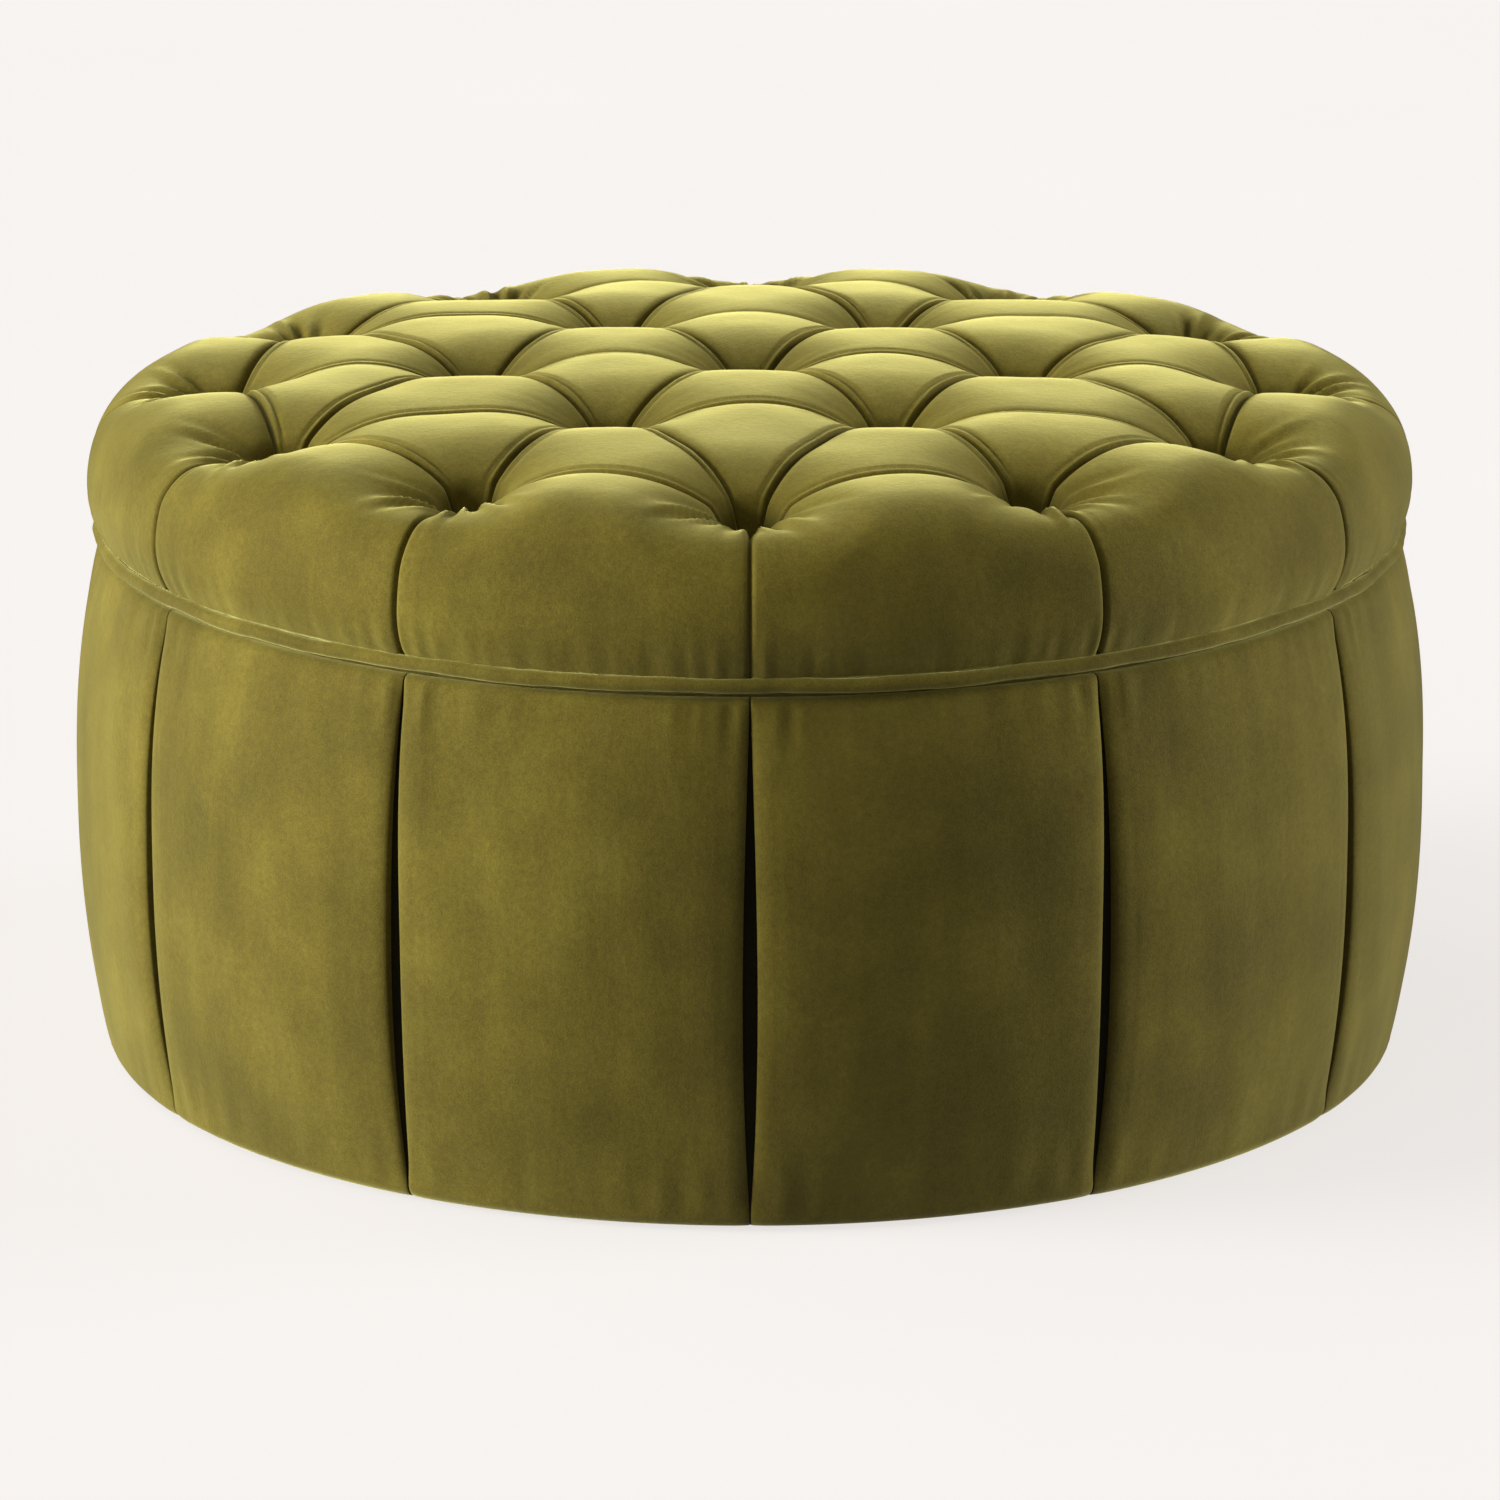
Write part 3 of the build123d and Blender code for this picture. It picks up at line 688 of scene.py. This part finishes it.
def make_cushion():
    """The tufted cushion as one velvet skin, with its hem tucked in behind the welt."""
    points, depth, faces = joined_panels()
    verts = list(on_crown(points, depth, button_pull(points)))
    turn_hem(points, verts, faces)
    cushion = mesh_piece("cushion", verts, faces, velvet, "lid", ["tufted_cushion"])


def make_buttons():
    """Nineteen velvet-covered buttons with domed tops and tucked edges."""
    verts, faces = [], []
    section = [(0.0, 0.0), (0.0030, -0.0002), (0.0062, -0.0011), (0.0090, -0.0026),
               (0.0105, -0.0043), (BUTTON_R, -0.0060), (0.0100, -0.0075), (0.0070, -0.0080)]
    around = 40
    for spot in ALL_BUTTONS:
        reach = np.hypot(*spot)
        angle = math.atan2(spot[1], spot[0])
        radius = float(np.interp(reach, LENGTH, PROFILE_R))
        top = float(np.interp(reach, LENGTH, PROFILE_Z)) - BUTTON_DEPTH
        top += max(0.0, float(crown_lean(reach, angle)))
        centre = np.array([radius * math.cos(angle), radius * math.sin(angle), top])
        start = len(verts)
        verts.append(centre)
        for r, z in section[1:]:
            for step in range(around):
                turn = math.tau * step / around
                ruffle = 1 + 0.02 * math.sin(9 * turn + reach * 40)
                verts.append(centre + (r * ruffle * math.cos(turn), r * ruffle * math.sin(turn), z))
        for step in range(around):
            after = (step + 1) % around
            faces.append((start, start + 1 + step, start + 1 + after))
            for row in range(len(section) - 2):
                low = start + 1 + row * around
                high = low + around
                faces.append((low + step, high + step, high + after, low + after))
    buttons = mesh_piece("buttons", verts, faces, velvet, "lid", ["tuft_buttons"])


def make_welt():
    """Piping along the lid's lower edge, slightly uneven as sewn cord is."""
    around, section = 900, 16
    angle = np.linspace(0, math.tau, around, endpoint=False)
    drift = 0.0016 * wander(angle, (7, 13, 22, 37), 3)
    thick = WELT_R * (0.96 + 0.14 * wander(angle, (12, 29, 60, 96), 5))
    out = 0.0012 * wander(angle, (9, 17, 31), 8)
    verts = []
    for a, d, w, o in zip(angle, drift, thick, out):
        for turn in np.linspace(0, math.tau, section, endpoint=False):
            radius = WELT_RING_R + o + w * math.cos(turn)
            verts.append((radius * math.cos(a), radius * math.sin(a),
                          WELT_Z + d + w * math.sin(turn)))
    faces = []
    for i in range(around):
        for j in range(section):
            low, high = i * section, (i + 1) % around * section
            after = (j + 1) % section
            faces.append((low + j, high + j, high + after, low + after))
    welt = mesh_piece("welt_piping", verts, faces, welt_velvet, "lid", ["welt"])


# ---- Skirt -----------------------------------------------------------------------------
def skirt_radius(z):
    """Outer radius of the skirt at a height."""
    above = SKIRT_R - SKIRT_IN_TOP * np.clip((z - SKIRT_Z) / SKIRT_RISE, 0, None) ** 2.6
    below = SKIRT_R - SKIRT_IN_LOW * np.clip((SKIRT_Z - z) / SKIRT_FALL, 0, None) ** 2.2
    return np.where(z > SKIRT_Z, above, below)


def skirt_section():
    """Points down the skirt: the rim's fold, the side, the hem's turn and the return."""
    points = [(0.428, RIM_Z - 0.0012), (0.4335, RIM_Z - 0.0004), (0.4365, RIM_Z - 0.0016)]
    turn_z = HEM_LOW + HEM_ROLL
    for z in np.linspace(RIM_Z - 0.005, turn_z, 68):
        points.append((float(skirt_radius(z)), z))
    centre = float(skirt_radius(turn_z)) - HEM_ROLL
    for angle in np.linspace(0, math.pi / 2, 8)[1:]:
        points.append((centre + HEM_ROLL * math.cos(angle), turn_z - HEM_ROLL * math.sin(angle)))
    points += [(0.418, HEM_LOW), (0.402, 0.0032)]
    return points


def pleat_opening(radius, z):
    """Half-width and depth of the pleats at one height, and how far open they are, 0 to 1."""
    height_share = np.clip((z - PLEAT_LOW) / (PLEAT_TOP - PLEAT_LOW), 0, 1)
    open_share = math.sin(math.pi * height_share) ** 0.9
    low_share = np.clip((PLEAT_TOP - z) / PLEAT_TOP, 0, 1)
    gap = PLEAT_GAP / 2 * open_share * (0.55 + 0.7 * low_share) + 0.0004
    deep = PLEAT_SHALLOW + (PLEAT_DEEP - PLEAT_SHALLOW) * open_share ** 0.6
    if z > RIM_Z - 0.004 or radius < 0.425:
        deep = PLEAT_TRACE
    return gap, deep, open_share


def skirt_ring(radius, gap, deep):
    """One ring of the skirt: angle, pleat depth and share of the way along the panel."""
    turn = math.tau / PLEATS
    along = cluster(np.linspace(0, 1, 33), 1.35)[1:-1]
    edge = gap + ROLL_WIDE
    width = turn * radius
    ring = []
    for number in range(PLEATS):
        start = -math.pi / 2 + turn * number
        local = np.random.default_rng(500 + number)
        lean = local.uniform(-0.0008, 0.0008)
        for offset, depth in fold_section(gap, deep):
            ring.append((start + (offset + lean) / radius, depth, 0))
        for share in along:
            arc = edge + (width - 2 * edge) * share
            ring.append((start + arc / radius, 0.0, share))
    return (np.array(values) for values in zip(*ring))


def skirt_reach(radius, z, angle, depth, share, open_share):
    """Radius of the cloth along one ring, with its pleats, puffs, waves and rucks."""
    body = 1 - np.clip(depth / ROLL_DEEP, 0, 1)
    puff = 0.0014 * np.sin(math.pi * share) ** 0.5 * open_share
    waves = 0.0009 * wander(angle + 0.35 * z, (18, 31, 47, 64), 21) * body
    top = smooth(0.30, 0.343, z) * (1 - smooth(0.3455, 0.349, z))
    ruck = 0.0018 * wander(angle, (90, 131, 172, 215), 33) * top * body
    low = (1 - smooth(0.02, 0.07, z)) * smooth(0.004, 0.02, z)
    hem = 0.0012 * wander(angle, (75, 110, 140), 35) * low * body
    return radius - depth - 0.0008 + puff + waves * smooth(0.01, 0.05, z) + ruck + hem


def paint_pleat_shade(skirt, columns):
    """Gives the wall and underlay of each pleat the dark velvet without sheen: painted shade inside
    the pleats.
    """
    skirt.data.materials.append(pleat_shade_velvet)
    panel_columns = columns // PLEATS
    fold_columns = len(fold_section(0.001, 0.01))
    edge_columns = len(EDGE_ANGLES)
    for face in skirt.data.polygons:
        place = [v % columns % panel_columns for v in face.vertices]
        if edge_columns <= min(place) and max(place) < fold_columns - edge_columns:
            face.material_index = 1


def make_skirt():
    """Twelve flat panels whose edges roll into deep inverted pleats."""
    section = skirt_section()
    verts, columns = [], 0
    for radius, z in section:
        gap, deep, open_share = pleat_opening(radius, z)
        angle, depth, share = skirt_ring(radius, gap, deep)
        out = skirt_reach(radius, z, angle, depth, share, open_share)
        verts += list(np.column_stack([out * np.cos(angle), out * np.sin(angle),
                                       np.full(len(angle), z)]))
        columns = len(angle)
    faces = [tuple(reversed(face)) for face in grid_faces(len(section), columns, wrap=True)]
    skirt = mesh_piece("skirt", verts, faces, skirt_velvet, "base", ["pleated_skirt"])
    # Painted shade: the pleats' inner faces get the dark velvet copy.
    paint_pleat_shade(skirt, columns)


def fold_section(gap, deep):
    """Points across a pleat as (offset, depth): the rolled edge, the wall and the underlay."""
    side = []
    for angle in EDGE_ANGLES:
        offset = gap + ROLL_WIDE * (1 - math.sin(angle))
        side.append((offset, min(ROLL_DEEP, 0.8 * deep) * (1 - math.cos(angle))))
    side.append((gap + 0.0001, deep * 0.72))
    side.append((gap * 0.9, deep))
    side.append((gap * 0.45, deep * 1.01))
    left = [(-offset, depth) for offset, depth in side]
    right = list(reversed(side))
    return left + [(0.0, deep * 1.01)] + right


# ---- Linings ---------------------------------------------------------------------------
def disc_cloth(name, radius, z, ripple, body, node, material, faces_up=False):
    """A round cloth stretched flat, with slight puckers towards its fixed edge."""
    rings, around = 40, 160
    verts = [(0, 0, z)]
    angle = np.linspace(0, math.tau, around, endpoint=False)
    for step in range(1, rings + 1):
        share = step / rings
        pucker = ripple * wander(angle, (11, 23, 38), 61) * share ** 3 * (1 - share ** 12)
        slack = ripple * 0.6 * wander(angle + 3 * share, (3, 5, 8), 62) * share * (1 - share ** 6)
        for a, lift in zip(angle, pucker + slack):
            verts.append((radius * share * math.cos(a), radius * share * math.sin(a), z + lift))
    faces = [(0, 1 + (i + 1) % around, 1 + i) for i in range(around)]
    faces += [tuple(1 + v for v in face) for face in grid_faces(rings, around, wrap=True)]
    if faces_up:
        faces = [tuple(reversed(face)) for face in faces]
    cloth = mesh_piece(name, verts, faces, material, body, [node])


def wall_cloth():
    """Lining cloth round the inside of the box, over card, with slight upright waves."""
    around, rows = 480, 24
    low, high = LINING_LOW, LINING_HIGH
    angle = np.linspace(0, math.tau, around, endpoint=False)
    verts = []
    for z in np.linspace(low, high, rows):
        share = (z - low) / (high - low)
        slack = 0.0007 * wander(angle, (14, 27, 45, 70), 71) * math.sin(math.pi * share)
        radius = LINING_R + slack
        verts += list(np.column_stack([radius * np.cos(angle), radius * np.sin(angle),
                                       np.full(around, z)]))
    cloth = mesh_piece("box_lining", verts, grid_faces(rows, around, wrap=True), lining, "base",
                       ["wall_lining"])


def rim_cloth():
    """Velvet band over the frame's top edge, rounded where it turns down."""
    around = 480
    section = [(0.4295, 0.3482), (0.4290, 0.3494), (0.4260, 0.3499), (0.4180, 0.3500),
               (0.4060, 0.3500), (0.3940, 0.3499), (0.3880, 0.3497), (0.3852, 0.3490),
               (0.3842, 0.3482)]
    angle = np.linspace(0, math.tau, around, endpoint=False)
    verts = []
    for r, z in section:
        ripple = 0.0002 * wander(angle, (40, 67, 95), 81)
        verts += list(np.column_stack([(r + ripple) * np.cos(angle), (r + ripple) * np.sin(angle),
                                       np.full(around, z)]))
    band = mesh_piece("rim_band", verts, grid_faces(len(section), around, wrap=True), velvet,
                      "base", ["rim_facing"])


# ---- Stage -----------------------------------------------------------------------------
def make_floor():
    """A plain pale floor that glows and takes soft shadows."""
    material, tree, shader = new_material("floor", srgb(250, 247, 244), 0.9)
    tint = noise(tree, 2.0, 2.0)
    colour = ramp(tree, tint, ((0.3, srgb(248, 244, 241)), (0.7, srgb(249, 245, 242))))
    dimmed = mixed(tree, "MULTIPLY", 1.0, colour, (FLOOR_SHADE,) * 3 + (1,))
    tree.links.new(dimmed, shader.inputs["Base Color"])
    tree.links.new(colour, shader.inputs["Emission Color"])
    shader.inputs["Emission Strength"].default_value = FLOOR_GLOW
    shader.inputs["Specular IOR Level"].default_value = 0.0
    verts = [(x, y, 0) for y in (-FLOOR_SIDE, FLOOR_SIDE) for x in (-FLOOR_SIDE, FLOOR_SIDE)]
    mesh = bpy.data.meshes.new("floor")
    mesh.from_pydata(verts, [], [(0, 1, 3, 2)])
    mesh.materials.append(material)
    floor = bpy.data.objects.new("floor", mesh)
    bpy.context.collection.objects.link(floor)
    # The floor is seen, but light that it sends back does not reach rough surfaces.
    floor.visible_diffuse = False


def sun(name, azimuth, elevation, strength, soft):
    """A broad soft light from a bearing: azimuth 0 is the front, -90 the left."""
    light = bpy.data.lights.new(name, "SUN")
    light.energy = strength
    light.angle = math.radians(soft)
    lamp = bpy.data.objects.new(name, light)
    bpy.context.collection.objects.link(lamp)
    a, e = math.radians(azimuth), math.radians(elevation)
    towards = (math.sin(a) * math.cos(e), -math.cos(a) * math.cos(e), math.sin(e))
    lamp.rotation_euler = Vector(towards).to_track_quat("Z", "Y").to_euler()


def make_lights():
    """A dim pale world, strong low light from the left, less from the right, a little from above."""
    world = bpy.data.worlds.new("studio")
    world.use_nodes = True
    world.node_tree.nodes["Background"].inputs["Color"].default_value = srgb(249, 246, 243)
    world.node_tree.nodes["Background"].inputs["Strength"].default_value = WORLD_STRENGTH
    bpy.context.scene.world = world
    for light in LIGHTS:
        sun(*light)


def make_camera():
    """The camera in front of the ottoman, looking slightly down."""
    data = bpy.data.cameras.new("camera")
    data.lens = CAMERA_LENS
    data.sensor_width = CAMERA_SENSOR
    camera = bpy.data.objects.new("camera", data)
    camera.location = CAMERA_PLACE
    camera.rotation_euler = (math.radians(90 - CAMERA_DOWN), 0, 0)
    bpy.context.collection.objects.link(camera)
    bpy.context.scene.camera = camera
    bpy.context.scene.view_settings.view_transform = "Standard"


def dress_cad_nodes():
    """Gives each CAD node that stays in view the finish of its material slot."""
    slots = {part["node"]: part["material_slot"] for part in frame["record"]["subparts"]}
    for name, node in frame["nodes"].items():
        material = CAD_MATERIALS[slots[name]]
        node.data.materials.clear()
        node.data.materials.append(material)


dress_cad_nodes()
make_cushion()
make_buttons()
make_welt()
make_skirt()
disc_cloth("floor_cloth", *FLOOR_CLOTH, "base", "floor_lining", lining, faces_up=True)
disc_cloth("lid_cloth", *LID_CLOTH, "lid", "lid_lining", lining)
disc_cloth("under_cloth", *UNDER_CLOTH, "base", "dust_cover", dust_cloth)
wall_cloth()
rim_cloth()
make_floor()
make_lights()
make_camera()
